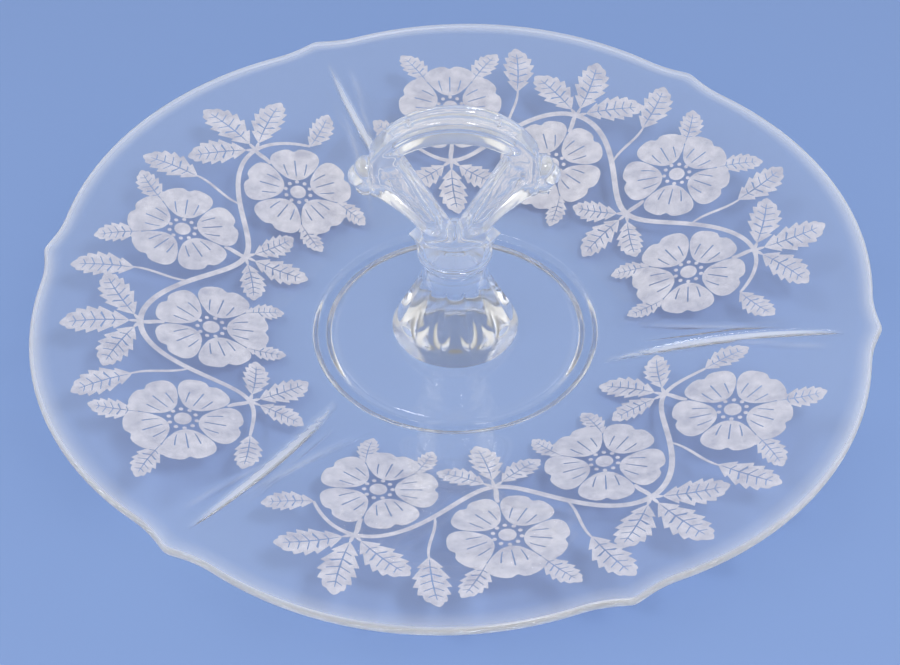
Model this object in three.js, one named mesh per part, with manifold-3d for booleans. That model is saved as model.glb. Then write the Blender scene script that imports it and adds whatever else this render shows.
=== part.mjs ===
// Serving tray of clear pressed glass: a dished plate with a scalloped rim, and a loop handle at its centre.
// Millimetres, +Z up. The origin is on the plate's axis, at the level that the foot ring stands on.
// The handle's loop lies in the XZ plane.

import * as THREE from "three";
import { mergeVertices } from "three/addons/utils/BufferGeometryUtils.js";
import Module from "manifold-3d";

const wasm = await Module();
wasm.setup();

// Plate
const LOBE_COUNT = 6; // rim lobes, with one small point between each two
const POINT_REACH = 135; // from the axis to the tip of a rim point
const LOBE_PROUD = 1; // that the middle of a lobe reaches further out than the points
const POINT_FLARE = 3.9; // that the tip stands out from where the two lobes beside it would meet
const POINT_HALF_WIDTH = 16; // along the rim, from the tip to where the point dies out
const FIRST_POINT_TURN = THREE.MathUtils.degToRad(-8.3); // from +X; joined to the handle by eye
const SCALLOP_WIDTH = 44; // the border of the plate that follows the rim's lobes
const WELL_RADIUS = 42; // flat top around the stem
const WELL_THICKNESS = 4.3;
const WELL_EASE = 12; // run of the curve from the flat well into the slope, on top
const FOOT_EASE = 8; // the same underneath, outside the foot ring
const RIM_TOP = 23.2; // height of the rim's upper side
const RIM_THICKNESS = 3.3;
const RIM_EASE = 44; // run over which the slope flattens towards the rim
const RIM_EASE_RISE = 3.7; // what the plate still rises over that run
const PLATE_STEPS_PER_LOBE = 18;
const PLATE_CURVE_STEPS = 6; // from the well to the rim

// Moulded rays under the plate
const SHEAF_EVERY = 2; // rim points from one sheaf of rays to the next
const RAY_FOOT_CLEARANCE = 0.6; // from the foot ring to where the longest ray starts
const RAY_RIM_CLEARANCE = 9; // from the rim to where the longest one ends
const MAIN_RAY = { from: [0, -9.6], to: [1, -1.6], bow: 2.9, width: 5, depth: 0.9 };
const SIDE_RAYS = [
  { from: [0.06, 8], to: [0.79, 1.4], bow: -1.4, width: 3.8, depth: 0.7 },
  { from: [0.44, -3.4], to: [0.98, -8.4], bow: 0, width: 3.6, depth: 0.7 },
  { from: [0.16, -1], to: [0.89, 5.4], bow: -0.3, width: 3.4, depth: 0.6 },
]; // from and to: share of the way to the rim, then distance across the sheaf; depth: below the plate
const RAY_SINK = 0.3; // that a ray's middle line lies inside the plate, so that its ends run out in it
const RAY_STEPS = 14; // along a ray
const RAY_SIDES = 8;

// Foot ring
const FOOT_HEIGHT = 2;
const FOOT_RADIUS = 43.5; // to the middle of the flat that rests on the table
const FOOT_LAND_WIDTH = 2.6; // of that flat
const FOOT_ROOT_WIDTH = 6.4; // where the ring meets the plate
const FOOT_ROUND = 0.5; // height of the round beside the flat
const FOOT_STEPS = 60;

// Stem
const STEM_HEIGHT = 30.9; // from the plate to the collar
const STEM_FOOT_RADIUS = 19.5;
const STEM_FOOT_EDGE = 0.6; // thickness of the flare where it runs out on the plate
const STEM_WAIST_RADIUS = 9.5;
const STEM_WAIST_RISE = 20.7; // above the plate
const STEM_TOP_RADIUS = 10.4;
const FLUTE_COUNT = 12;
const FLUTE_DEPTH = 1;
const FLUTE_RISE = 2.7; // above the plate, where the flutes begin
const FLUTE_STEPS = 4; // around each flute
const FLARE_STEPS = 8;

// Collar
const COLLAR_HEIGHT = 8.8;
const COLLAR_BEAD_RADIUS = 11.8;
const COLLAR_BEAD_HEIGHT = 2.2;
const COLLAR_NECK_RADIUS = 11.1; // just above the bead
const COLLAR_TOP_RADIUS = 14.4; // to the corners of its upper edge
const COLLAR_SIDES = 8;
const COLLAR_STEPS_PER_SIDE = 4;

// Loop handle
const LOOP_HEIGHT = 49; // from the collar to the top of the grip
const HANDLE_DEPTH = 9.2; // front to back
const HANDLE_ROUNDING = 1.3; // of its long edges
const GRIP_RADIUS = 28.7; // of the arch, outside
const GRIP_THICKNESS = 9.4; // at the top of the arch
const GRIP_SEAT_RISE = 9.7; // above the arch's centre, where the grip meets the arms
const SHOULDER_INSET = 3.2; // from the arch's full width to the flat that carries a knob
const ARM_FOOT_HALF_WIDTH = 9.8; // outside of the two arms at the collar
const ARM_MEET_RISE = 1; // above the collar, where the arms' inner faces would meet
const ARM_SWEEP_LOW = [0.05, 0.37]; // how far out and up an arm's outline leans to, near the collar
const ARM_SWEEP_HIGH = [0.46, 0.615]; // and near the shoulder, as shares of its run and its rise
const CROTCH_TRIM = 3; // length of inner face that the rounded crotch takes up
const OPENING_RADIUS = 28.6; // of the arch over the finger gap, flatter than the outside
const OPENING_HALF_ANGLE = THREE.MathUtils.degToRad(37); // from the top of that arch to the gap's corners
const OPENING_TRIM = 2.5; // length that a rounded upper corner takes up
const LOOP_CURVE_STEPS = 8;

// Channels pressed into the front and back of the loop
const CHANNEL_DEPTH = 0.9;
const ARM_CHANNEL_WIDTH = 4;
const ARM_CHANNEL_LOW_ACROSS = 7.6; // middle of its lower round end, from the axis
const ARM_CHANNEL_LOW_RISE = 6.6; // and above the collar
const ARM_CHANNEL_HIGH_ACROSS = 17.7; // middle of its upper round end, from the axis
const ARM_CHANNEL_HIGH_RISE = 6; // and above the arch's centre
const GRIP_CHANNEL_WIDTH = 3.4;
const GRIP_CHANNEL_INSET = 4.2; // from the outside of the arch to its middle line
const GRIP_CHANNEL_HALF_ANGLE = THREE.MathUtils.degToRad(43);
const GRIP_PANEL_WIDTH = 4.4; // of the sunk panel on top of the arch
const GRIP_PANEL_DEPTH = 0.8;
const GRIP_PANEL_HALF_ANGLE = THREE.MathUtils.degToRad(29);
const CHANNEL_CURVE_STEPS = 6;

// Knobs
const KNOB_LOBE_RADIUS = 3.1;
const KNOB_RISE = 4.2; // of the middle lobe, above the arch's centre
const KNOB_SIDE_LOBE_RISE = 3.4; // of the outer lobes, above and below the middle one
const KNOB_LOBE_SINK = 1.5; // that an outer lobe is cut off by the shoulder
const KNOB_MIDDLE_LOBE_STEP = 2; // that the middle lobe stands out beyond the other two
const KNOB_DEPTH = 8;
const KNOB_ROUNDING = 2.4;
const KNOB_STEPS = 14;

// Worked out from the sizes above
const LOBE_ANGLE = (2 * Math.PI) / LOBE_COUNT;
const LOBE_REACH = POINT_REACH + LOBE_PROUD;
const LOBE_MEET = POINT_REACH - POINT_FLARE;
const LOBE_BULGE = LOBE_REACH - LOBE_MEET * Math.cos(LOBE_ANGLE / 2);
const LOBE_RADIUS = ((LOBE_MEET * Math.sin(LOBE_ANGLE / 2)) ** 2 + LOBE_BULGE ** 2) / (2 * LOBE_BULGE);
const WELL_TOP = FOOT_HEIGHT + WELL_THICKNESS;
const FOOT_OUTER = FOOT_RADIUS + FOOT_ROOT_WIDTH / 2;
const COLLAR_BOTTOM = WELL_TOP + STEM_HEIGHT;
const COLLAR_TOP = COLLAR_BOTTOM + COLLAR_HEIGHT;
const GRIP_TOP = COLLAR_TOP + LOOP_HEIGHT;
const GRIP_CENTRE = GRIP_TOP - GRIP_RADIUS;
const GRIP_SEAT = GRIP_CENTRE + GRIP_SEAT_RISE;
const OPENING_CENTRE = GRIP_TOP - GRIP_THICKNESS - OPENING_RADIUS;
const SHOULDER_HALF_WIDTH = GRIP_RADIUS - SHOULDER_INSET;

const clearGlass = () =>
  new THREE.MeshStandardMaterial({
    color: 0xf4f7f8,
    roughness: 0.03,
    metalness: 0,
    transparent: true,
    opacity: 0.35,
  });

// Turns a closed geometry into a solid that can be joined and cut.
function toSolid(geometry) {
  const bare = geometry.clone();
  bare.deleteAttribute("normal");
  bare.deleteAttribute("uv");
  const merged = mergeVertices(bare, 1e-4);
  const index = merged.index.array;
  const kept = [];
  for (let i = 0; i < index.length; i += 3) {
    const [a, b, c] = [index[i], index[i + 1], index[i + 2]];
    if (a !== b && b !== c && c !== a) kept.push(a, b, c);
  }
  return new wasm.Manifold(
    new wasm.Mesh({
      numProp: 3,
      vertProperties: merged.attributes.position.array,
      triVerts: new Uint32Array(kept),
    })
  );
}

function toGeometry(solid) {
  const mesh = solid.getMesh();
  const geometry = new THREE.BufferGeometry();
  geometry.setAttribute("position", new THREE.BufferAttribute(mesh.vertProperties, 3));
  geometry.setIndex(new THREE.BufferAttribute(mesh.triVerts, 1));
  geometry.computeVertexNormals();
  return geometry;
}

// A block between two corners, to cut a solid with.
function blockSolid(low, high) {
  const size = high.clone().sub(low);
  const geometry = new THREE.BoxGeometry(size.x, size.y, size.z);
  const middle = low.clone().add(high).multiplyScalar(0.5);
  geometry.translate(middle.x, middle.y, middle.z);
  return toSolid(geometry);
}

// Revolves a profile of [radius, height] points, given anticlockwise, about Z.
function revolve(profile, steps, firstAngle = 0) {
  const points = profile.map(([radius, height]) => new THREE.Vector2(radius, height));
  const geometry = new THREE.LatheGeometry(points, steps);
  geometry.rotateX(Math.PI / 2);
  geometry.rotateZ(firstAngle);
  return geometry;
}

// Moves each vertex outwards or inwards: newRadius gets its radius, angle and height.
function reshapeRound(geometry, newRadius) {
  const position = geometry.attributes.position;
  for (let i = 0; i < position.count; i++) {
    const [x, y, z] = [position.getX(i), position.getY(i), position.getZ(i)];
    const radius = Math.hypot(x, y);
    const angle = Math.atan2(y, x);
    const moved = newRadius(radius, angle, z);
    position.setXYZ(i, moved * Math.cos(angle), moved * Math.sin(angle), z);
  }
  return geometry;
}

// Plate

const plateTop = new THREE.CubicBezierCurve(
  new THREE.Vector2(WELL_RADIUS, WELL_TOP),
  new THREE.Vector2(WELL_RADIUS + WELL_EASE, WELL_TOP),
  new THREE.Vector2(LOBE_REACH - RIM_EASE, RIM_TOP - RIM_EASE_RISE),
  new THREE.Vector2(LOBE_REACH - RIM_THICKNESS / 2, RIM_TOP)
);
const plateUnder = new THREE.CubicBezierCurve(
  new THREE.Vector2(FOOT_OUTER, FOOT_HEIGHT),
  new THREE.Vector2(FOOT_OUTER + FOOT_EASE, FOOT_HEIGHT),
  new THREE.Vector2(LOBE_REACH - RIM_EASE, RIM_TOP - RIM_THICKNESS - RIM_EASE_RISE),
  new THREE.Vector2(LOBE_REACH - RIM_THICKNESS / 2, RIM_TOP - RIM_THICKNESS)
);

// Distance from the axis to the rim: lobes that are arcs, with a small flared point where two of them meet.
function rimReach(angle) {
  const turned = angle - FIRST_POINT_TURN;
  const fromPoint = turned - Math.round(turned / LOBE_ANGLE) * LOBE_ANGLE;
  const fromLobe = LOBE_ANGLE / 2 - Math.abs(fromPoint);
  const lobeCentre = LOBE_REACH - LOBE_RADIUS;
  const lobeReach = (a) =>
    lobeCentre * Math.cos(a) + Math.sqrt(LOBE_RADIUS ** 2 - (lobeCentre * Math.sin(a)) ** 2);
  const along = Math.min((Math.abs(fromPoint) * POINT_REACH) / POINT_HALF_WIDTH, 1);
  return lobeReach(fromLobe) + POINT_FLARE * (1 - along) ** 2;
}

// Height of the underside, outside the foot ring.
function heightUnder(radius) {
  const points = plateUnder.getPoints(PLATE_CURVE_STEPS);
  const next = Math.max(points.findIndex((p) => p.x >= radius), 1);
  const [a, b] = [points[next - 1], points[next]];
  return THREE.MathUtils.mapLinear(radius, a.x, b.x, a.y, b.y);
}

// One ray: a long spindle, bowed sideways. It follows the curve of the underside, with its upper half in the
// plate.
function raySolid(ray, sheafAngle) {
  const nearest = FOOT_OUTER + RAY_FOOT_CLEARANCE;
  const farthest = LOBE_REACH - RAY_RIM_CLEARANCE;
  const place = ([share, across]) => new THREE.Vector2(THREE.MathUtils.lerp(nearest, farthest, share), across);
  const start = place(ray.from);
  const lengthwise = place(ray.to).sub(start);
  const middle = start.clone().addScaledVector(lengthwise, 1 / 2);
  const spindle = new THREE.SphereGeometry(1, RAY_SIDES, RAY_STEPS);
  spindle.rotateZ(-Math.PI / 2);
  spindle.scale(1, ray.width / 2, ray.depth + RAY_SINK);
  const position = spindle.attributes.position;
  for (let i = 0; i < position.count; i++) {
    const along = position.getX(i);
    position.setY(i, position.getY(i) + ray.bow * (1 - along ** 2));
  }
  spindle.scale(lengthwise.length() / 2, 1, 1);
  spindle.rotateZ(lengthwise.angle());
  spindle.translate(middle.x, middle.y, RAY_SINK);
  for (let i = 0; i < position.count; i++) {
    const surface = heightUnder(Math.hypot(position.getX(i), position.getY(i)));
    position.setZ(i, position.getZ(i) + surface);
  }
  spindle.rotateZ(sheafAngle);
  return toSolid(spindle);
}

function plateGeometry() {
  const profile = [
    [0, FOOT_HEIGHT],
    ...plateUnder.getPoints(PLATE_CURVE_STEPS).map((p) => [p.x, p.y]),
    [LOBE_REACH, RIM_TOP - RIM_THICKNESS / 2],
    ...plateTop.getPoints(PLATE_CURVE_STEPS).map((p) => [p.x, p.y]).reverse(),
    [0, WELL_TOP],
  ];
  const disc = revolve(profile, LOBE_COUNT * PLATE_STEPS_PER_LOBE, FIRST_POINT_TURN);
  const scallopStart = LOBE_REACH - SCALLOP_WIDTH;
  reshapeRound(disc, (radius, angle) => {
    const follow = Math.max((radius - scallopStart) / SCALLOP_WIDTH, 0) ** 2;
    return radius + follow * (rimReach(angle) - LOBE_REACH);
  });
  let solid = toSolid(disc);
  for (let point = 0; point < LOBE_COUNT; point += SHEAF_EVERY) {
    const sheafAngle = FIRST_POINT_TURN + point * LOBE_ANGLE;
    for (const ray of [MAIN_RAY, ...SIDE_RAYS]) {
      solid = solid.add(raySolid(ray, sheafAngle));
    }
  }
  return toGeometry(solid);
}

// Foot ring

function footRingGeometry() {
  const root = FOOT_ROOT_WIDTH / 2;
  const land = FOOT_LAND_WIDTH / 2;
  const round = (root + 2 * land) / 3;
  const profile = [
    [FOOT_RADIUS - root, FOOT_HEIGHT],
    [FOOT_RADIUS - round, FOOT_ROUND],
    [FOOT_RADIUS - land, 0],
    [FOOT_RADIUS + land, 0],
    [FOOT_RADIUS + round, FOOT_ROUND],
    [FOOT_RADIUS + root, FOOT_HEIGHT],
    [FOOT_RADIUS - root, FOOT_HEIGHT],
  ];
  return revolve(profile, FOOT_STEPS);
}

// Stem

function stemGeometry() {
  const waist = WELL_TOP + STEM_WAIST_RISE;
  const fluteStart = WELL_TOP + FLUTE_RISE;
  const flare = new THREE.CubicBezierCurve(
    new THREE.Vector2(STEM_FOOT_RADIUS, WELL_TOP + STEM_FOOT_EDGE),
    new THREE.Vector2((STEM_FOOT_RADIUS + STEM_WAIST_RADIUS) / 2, WELL_TOP + 2 * STEM_FOOT_EDGE),
    new THREE.Vector2(STEM_WAIST_RADIUS, (WELL_TOP + waist) / 2),
    new THREE.Vector2(STEM_WAIST_RADIUS, waist)
  );
  const profile = [
    [0, WELL_TOP],
    [STEM_FOOT_RADIUS, WELL_TOP],
    ...flare.getPoints(FLARE_STEPS).map((p) => [p.x, p.y]),
    [STEM_TOP_RADIUS, COLLAR_BOTTOM],
    [0, COLLAR_BOTTOM],
  ];
  return reshapeRound(revolve(profile, FLUTE_COUNT * FLUTE_STEPS), (radius, angle, height) => {
    const along = THREE.MathUtils.clamp((height - fluteStart) / (waist - fluteStart), 0, 1);
    const fade = Math.sqrt(Math.sin(Math.PI * along));
    return radius - (FLUTE_DEPTH * fade * (1 - Math.cos(FLUTE_COUNT * angle))) / 2;
  });
}

// Collar

function collarGeometry() {
  const beadTop = COLLAR_BOTTOM + COLLAR_BEAD_HEIGHT;
  const beadRound = COLLAR_BEAD_HEIGHT / 4;
  const profile = [
    [0, COLLAR_BOTTOM],
    [COLLAR_BEAD_RADIUS - beadRound, COLLAR_BOTTOM],
    [COLLAR_BEAD_RADIUS, COLLAR_BOTTOM + beadRound],
    [COLLAR_BEAD_RADIUS, beadTop - 2 * beadRound],
    [COLLAR_NECK_RADIUS, beadTop],
    [(COLLAR_NECK_RADIUS + COLLAR_TOP_RADIUS) / 2, (beadTop + COLLAR_TOP) / 2],
    [COLLAR_TOP_RADIUS, COLLAR_TOP],
    [0, COLLAR_TOP],
  ];
  const side = (2 * Math.PI) / COLLAR_SIDES;
  return reshapeRound(revolve(profile, COLLAR_SIDES * COLLAR_STEPS_PER_SIDE), (radius, angle, height) => {
    const flat = THREE.MathUtils.clamp((height - beadTop) / (COLLAR_TOP - beadTop), 0, 1);
    const fromMiddle = angle - (Math.floor(angle / side) + 0.5) * side;
    const polygon = Math.cos(side / 2) / Math.cos(fromMiddle);
    return radius * THREE.MathUtils.lerp(1, polygon, flat);
  });
}

// Loop handle

// Extrudes an outline drawn in X and Z, centred on the XZ plane, with its long edges rounded inwards.
function extrudeAcross(shape, depth, rounding, curveSegments) {
  const geometry = new THREE.ExtrudeGeometry(shape, {
    depth: depth - 2 * rounding,
    bevelEnabled: rounding > 0,
    bevelThickness: rounding,
    bevelSize: rounding,
    bevelOffset: -rounding,
    bevelSegments: 2,
    curveSegments,
  });
  geometry.translate(0, 0, rounding - depth / 2);
  geometry.rotateX(Math.PI / 2);
  return geometry;
}

// Outline of the loop. It runs on below the collar's top, where the arms are cut off flat.
function loopShape() {
  const shoulderArc = Math.acos(SHOULDER_HALF_WIDTH / GRIP_RADIUS);
  const rise = GRIP_CENTRE - COLLAR_TOP;
  const run = SHOULDER_HALF_WIDTH - ARM_FOOT_HALF_WIDTH;
  const lean = ([out, up]) => [ARM_FOOT_HALF_WIDTH + out * run, COLLAR_TOP + up * rise];
  const low = lean(ARM_SWEEP_LOW);
  const high = lean(ARM_SWEEP_HIGH);
  const shape = new THREE.Shape();
  const root = COLLAR_TOP - 2 * HANDLE_ROUNDING;
  shape.moveTo(ARM_FOOT_HALF_WIDTH, root);
  shape.lineTo(ARM_FOOT_HALF_WIDTH, COLLAR_TOP);
  shape.bezierCurveTo(...low, ...high, SHOULDER_HALF_WIDTH, GRIP_CENTRE);
  shape.absarc(0, GRIP_CENTRE, GRIP_RADIUS, shoulderArc, Math.PI - shoulderArc);
  shape.lineTo(-SHOULDER_HALF_WIDTH, GRIP_CENTRE);
  shape.bezierCurveTo(-high[0], high[1], -low[0], low[1], -ARM_FOOT_HALF_WIDTH, COLLAR_TOP);
  shape.lineTo(-ARM_FOOT_HALF_WIDTH, root);
  shape.closePath();
  shape.holes.push(openingPath());
  return shape;
}

// The finger gap: an arch on top, and two straight sides that meet in a rounded crotch.
function openingPath() {
  const onArch = (angle) =>
    new THREE.Vector2(OPENING_RADIUS * Math.cos(angle), OPENING_CENTRE + OPENING_RADIUS * Math.sin(angle));
  const cornerArc = Math.PI / 2 - OPENING_HALF_ANGLE;
  const arcStart = cornerArc + OPENING_TRIM / OPENING_RADIUS;
  const corner = onArch(cornerArc);
  const besideCorner = onArch(arcStart);
  const meet = new THREE.Vector2(0, COLLAR_TOP + ARM_MEET_RISE);
  const downwards = meet.clone().sub(corner).normalize();
  const belowCorner = corner.clone().addScaledVector(downwards, OPENING_TRIM);
  const aboveMeet = meet.clone().addScaledVector(downwards, -CROTCH_TRIM);
  const path = new THREE.Path();
  path.absarc(0, OPENING_CENTRE, OPENING_RADIUS, arcStart, Math.PI - arcStart);
  path.quadraticCurveTo(-corner.x, corner.y, -belowCorner.x, belowCorner.y);
  path.lineTo(-aboveMeet.x, aboveMeet.y);
  path.quadraticCurveTo(meet.x, meet.y, aboveMeet.x, aboveMeet.y);
  path.lineTo(belowCorner.x, belowCorner.y);
  path.quadraticCurveTo(corner.x, corner.y, besideCorner.x, besideCorner.y);
  return path;
}

// A straight channel with round ends, on the arm at the given side.
function armChannelShape(side) {
  const low = new THREE.Vector2(side * ARM_CHANNEL_LOW_ACROSS, COLLAR_TOP + ARM_CHANNEL_LOW_RISE);
  const high = new THREE.Vector2(side * ARM_CHANNEL_HIGH_ACROSS, GRIP_CENTRE + ARM_CHANNEL_HIGH_RISE);
  const lean = high.clone().sub(low).angle();
  const half = ARM_CHANNEL_WIDTH / 2;
  const shape = new THREE.Shape();
  shape.absarc(high.x, high.y, half, lean - Math.PI / 2, lean + Math.PI / 2);
  shape.absarc(low.x, low.y, half, lean + Math.PI / 2, lean + (3 * Math.PI) / 2);
  return shape;
}

// A channel along the arch, with round ends.
function gripChannelShape() {
  const middle = GRIP_RADIUS - GRIP_CHANNEL_INSET;
  const half = GRIP_CHANNEL_WIDTH / 2;
  const from = Math.PI / 2 - GRIP_CHANNEL_HALF_ANGLE;
  const to = Math.PI / 2 + GRIP_CHANNEL_HALF_ANGLE;
  const end = (angle) => [middle * Math.cos(angle), GRIP_CENTRE + middle * Math.sin(angle)];
  const shape = new THREE.Shape();
  shape.absarc(0, GRIP_CENTRE, middle + half, from, to);
  shape.absarc(...end(to), half, to, to + Math.PI);
  shape.absarc(0, GRIP_CENTRE, middle - half, to, from, true);
  shape.absarc(...end(from), half, from + Math.PI, from + 2 * Math.PI);
  return shape;
}

// What is cut from the top of the arch to sink its panel.
function gripPanelShape() {
  const from = Math.PI / 2 - GRIP_PANEL_HALF_ANGLE;
  const to = Math.PI / 2 + GRIP_PANEL_HALF_ANGLE;
  const shape = new THREE.Shape();
  shape.absarc(0, GRIP_CENTRE, GRIP_RADIUS + GRIP_PANEL_DEPTH, from, to);
  shape.absarc(0, GRIP_CENTRE, GRIP_RADIUS - GRIP_PANEL_DEPTH, to, from, true);
  return shape;
}

// The whole loop, with its channels cut into the front and the back and its panel into the top.
function loopSolid() {
  let solid = toSolid(extrudeAcross(loopShape(), HANDLE_DEPTH, HANDLE_ROUNDING, LOOP_CURVE_STEPS));
  for (const shape of [armChannelShape(-1), armChannelShape(1), gripChannelShape()]) {
    for (const face of [-1, 1]) {
      const cutter = extrudeAcross(shape, 2 * CHANNEL_DEPTH, 0, CHANNEL_CURVE_STEPS);
      cutter.translate(0, (face * HANDLE_DEPTH) / 2, 0);
      solid = solid.subtract(toSolid(cutter));
    }
  }
  const panelCutter = extrudeAcross(gripPanelShape(), GRIP_PANEL_WIDTH, 0, 2 * CHANNEL_CURVE_STEPS);
  return solid.subtract(toSolid(panelCutter));
}

// Knobs

// Three round lobes on the shoulder's flat; side is -1 for the left knob and 1 for the right one.
function knobGeometry(side) {
  const outerLobe = SHOULDER_HALF_WIDTH + KNOB_LOBE_RADIUS - KNOB_LOBE_SINK;
  const middleLobe = outerLobe + KNOB_MIDDLE_LOBE_STEP;
  const height = GRIP_CENTRE + KNOB_RISE;
  const lobes = [
    [middleLobe, height],
    [outerLobe, height + KNOB_SIDE_LOBE_RISE],
    [outerLobe, height - KNOB_SIDE_LOBE_RISE],
  ];
  const half = KNOB_DEPTH / 2;
  const lobeProfile = [[0, -half]];
  for (const turn of [-Math.PI / 2, -Math.PI / 4, 0]) {
    lobeProfile.push([
      KNOB_LOBE_RADIUS - KNOB_ROUNDING * (1 - Math.cos(turn)),
      KNOB_ROUNDING - half + KNOB_ROUNDING * Math.sin(turn),
    ]);
  }
  const upper = lobeProfile.map(([radius, height]) => [radius, -height]).reverse();
  const solids = lobes.map(([across, up]) => {
    const lobe = revolve([...lobeProfile, ...upper], KNOB_STEPS);
    lobe.rotateX(Math.PI / 2);
    lobe.translate(side * across, 0, up);
    return toSolid(lobe);
  });
  const seat = side * SHOULDER_HALF_WIDTH;
  const outside = side * (middleLobe + 2 * KNOB_LOBE_RADIUS);
  const room = blockSolid(
    new THREE.Vector3(Math.min(seat, outside), -KNOB_DEPTH, 0),
    new THREE.Vector3(Math.max(seat, outside), KNOB_DEPTH, GRIP_TOP)
  );
  return toGeometry(solids[0].add(solids[1]).add(solids[2]).intersect(room));
}

// Assembly

const tray = new THREE.Group();
tray.name = "center_handle_tray";

function addPiece(name, geometry) {
  const mesh = new THREE.Mesh(geometry, clearGlass());
  mesh.name = name;
  tray.add(mesh);
}

const loop = loopSolid();
const wide = LOBE_REACH;
const deep = HANDLE_DEPTH;
const leftOfAxis = blockSolid(
  new THREE.Vector3(-wide, -deep, COLLAR_TOP),
  new THREE.Vector3(0, deep, GRIP_SEAT)
);
const rightOfAxis = blockSolid(
  new THREE.Vector3(0, -deep, COLLAR_TOP),
  new THREE.Vector3(wide, deep, GRIP_SEAT)
);
const aboveSeat = blockSolid(
  new THREE.Vector3(-wide, -deep, GRIP_SEAT),
  new THREE.Vector3(wide, deep, GRIP_TOP + GRIP_THICKNESS)
);

addPiece("tray_plate", plateGeometry());
addPiece("foot_ring", footRingGeometry());
addPiece("handle_stem", stemGeometry());
addPiece("handle_collar", collarGeometry());
addPiece("handle_left_arm", toGeometry(loop.intersect(leftOfAxis)));
addPiece("handle_right_arm", toGeometry(loop.intersect(rightOfAxis)));
addPiece("handle_grip", toGeometry(loop.intersect(aboveSeat)));
addPiece("left_knob", knobGeometry(-1));
addPiece("right_knob", knobGeometry(1));

export default tray;
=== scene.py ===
# %% [markdown]
# # A serving tray of clear glass with a centre handle
# This lesson builds the looks of a pressed-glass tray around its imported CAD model: a dished plate
# with a scalloped rim, a fluted stem, an open loop to carry it by, and a frosted garland under the
# plate. The CAD model gives the frame: every piece made here goes where the CAD solids say.

import math

import bpy
import numpy as np
from mathutils import Matrix, Vector


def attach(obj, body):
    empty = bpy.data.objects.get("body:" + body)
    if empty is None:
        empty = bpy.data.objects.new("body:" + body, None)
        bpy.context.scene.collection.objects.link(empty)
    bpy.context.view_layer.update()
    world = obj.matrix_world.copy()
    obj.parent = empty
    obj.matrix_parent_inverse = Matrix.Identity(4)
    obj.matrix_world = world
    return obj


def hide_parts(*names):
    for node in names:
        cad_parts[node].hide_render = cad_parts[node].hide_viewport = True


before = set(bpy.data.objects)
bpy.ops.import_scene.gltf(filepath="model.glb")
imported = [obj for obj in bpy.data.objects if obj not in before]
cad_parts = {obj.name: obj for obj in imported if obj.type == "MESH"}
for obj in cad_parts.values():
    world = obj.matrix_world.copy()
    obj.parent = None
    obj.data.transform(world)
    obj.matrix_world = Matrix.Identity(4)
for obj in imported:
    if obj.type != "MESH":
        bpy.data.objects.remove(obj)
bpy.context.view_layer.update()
scene = bpy.context.scene
MM = 0.001

# %% [markdown]
# ## Camera
# The picture was taken with a long lens from about 46 degrees above the table. The place and the turn
# of the camera were worked out from the rim, the foot ring and the handle, so the frame needs no
# lens shift. The turn is built from three plain rotations, because a camera that also rolls a little
# is hard to aim by its Euler angles.

# %% Camera
CAMERA_PLACE = Vector((-0.1, -497.1, 514.0)) * MM
CAMERA_PITCH = math.radians(45.87)
CAMERA_YAW = math.radians(0.19)
CAMERA_ROLL = math.radians(-0.57)
CAMERA_LENS = 87.55

bpy.ops.object.select_all(action="DESELECT")
bpy.ops.object.camera_add(location=CAMERA_PLACE)
camera = bpy.context.object
camera.name = "camera"
camera.data.lens = CAMERA_LENS
camera.data.clip_start = 0.01
yaw = Matrix.Rotation(CAMERA_YAW, 3, "Z")
pitch = Matrix.Rotation(math.pi / 2 - CAMERA_PITCH, 3, "X")
roll = Matrix.Rotation(CAMERA_ROLL, 3, "Z")
camera.rotation_euler = (yaw @ pitch @ roll).to_euler()
scene.camera = camera
print("camera", [round(v / MM) for v in camera.location], "mm, lens", camera.data.lens)

# %% [markdown]
# ## Floor and light
# Clear glass shows only what is around it. A pale blue floor, with a sweep of the same paper hung behind
# the tray as photographers do, gives it a body. The sweep is a small grid wrapped along a curved path, and
# it is narrower than the room: the white walls at both sides of it, and soft boxes, give the edges of
# the glass something white to mirror. The ceiling and the wall behind the camera are dim, so that the
# glass shows greys too. Rays that pass through the glass by chance and find a lamp make white specks, so
# those caustic paths are off, and the glass lets light straight through to the floor. Light also runs
# along inside the plate as in a fibre, so it may turn back many times before it is given up.

# %% Floor and backdrop
FLOOR_COLOUR = (0.22, 0.33, 0.61)
FLOOR_SIZE = 5.0
SWEEP_WIDTH = 1.4
SWEEP = [(1.10, 0.0), (1.26, 0.03), (1.38, 0.12), (1.45, 0.27), (1.48, 0.5), (1.48, 2.7)]

bpy.ops.mesh.primitive_plane_add(size=FLOOR_SIZE)
floor = bpy.context.object
floor.name = "floor"
bpy.ops.mesh.primitive_grid_add(x_subdivisions=1, y_subdivisions=len(SWEEP) - 1, size=1)
sweep = bpy.context.object
for vertex in sweep.data.vertices:
    step = round((vertex.co.y + 0.5) * (len(SWEEP) - 1))
    vertex.co = (vertex.co.x * SWEEP_WIDTH, *SWEEP[step])
floor.select_set(True)
bpy.context.view_layer.objects.active = floor
bpy.ops.object.join()
bpy.ops.object.shade_smooth_by_angle(angle=math.radians(40))
floor_paint = bpy.data.materials.new("floor_paint")
floor_paint.use_nodes = True
floor_shader = floor_paint.node_tree.nodes["Principled BSDF"]
floor_shader.inputs["Base Color"].default_value = (*FLOOR_COLOUR, 1)
floor_shader.inputs["Roughness"].default_value = 0.9
floor_shader.inputs["Specular IOR Level"].default_value = 0.1
floor.data.materials.append(floor_paint)
print("floor and backdrop of", len(floor.data.polygons), "faces")

# %% Lamps
LAMP_AIM = Vector((0, 0, 0.03))


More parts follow.
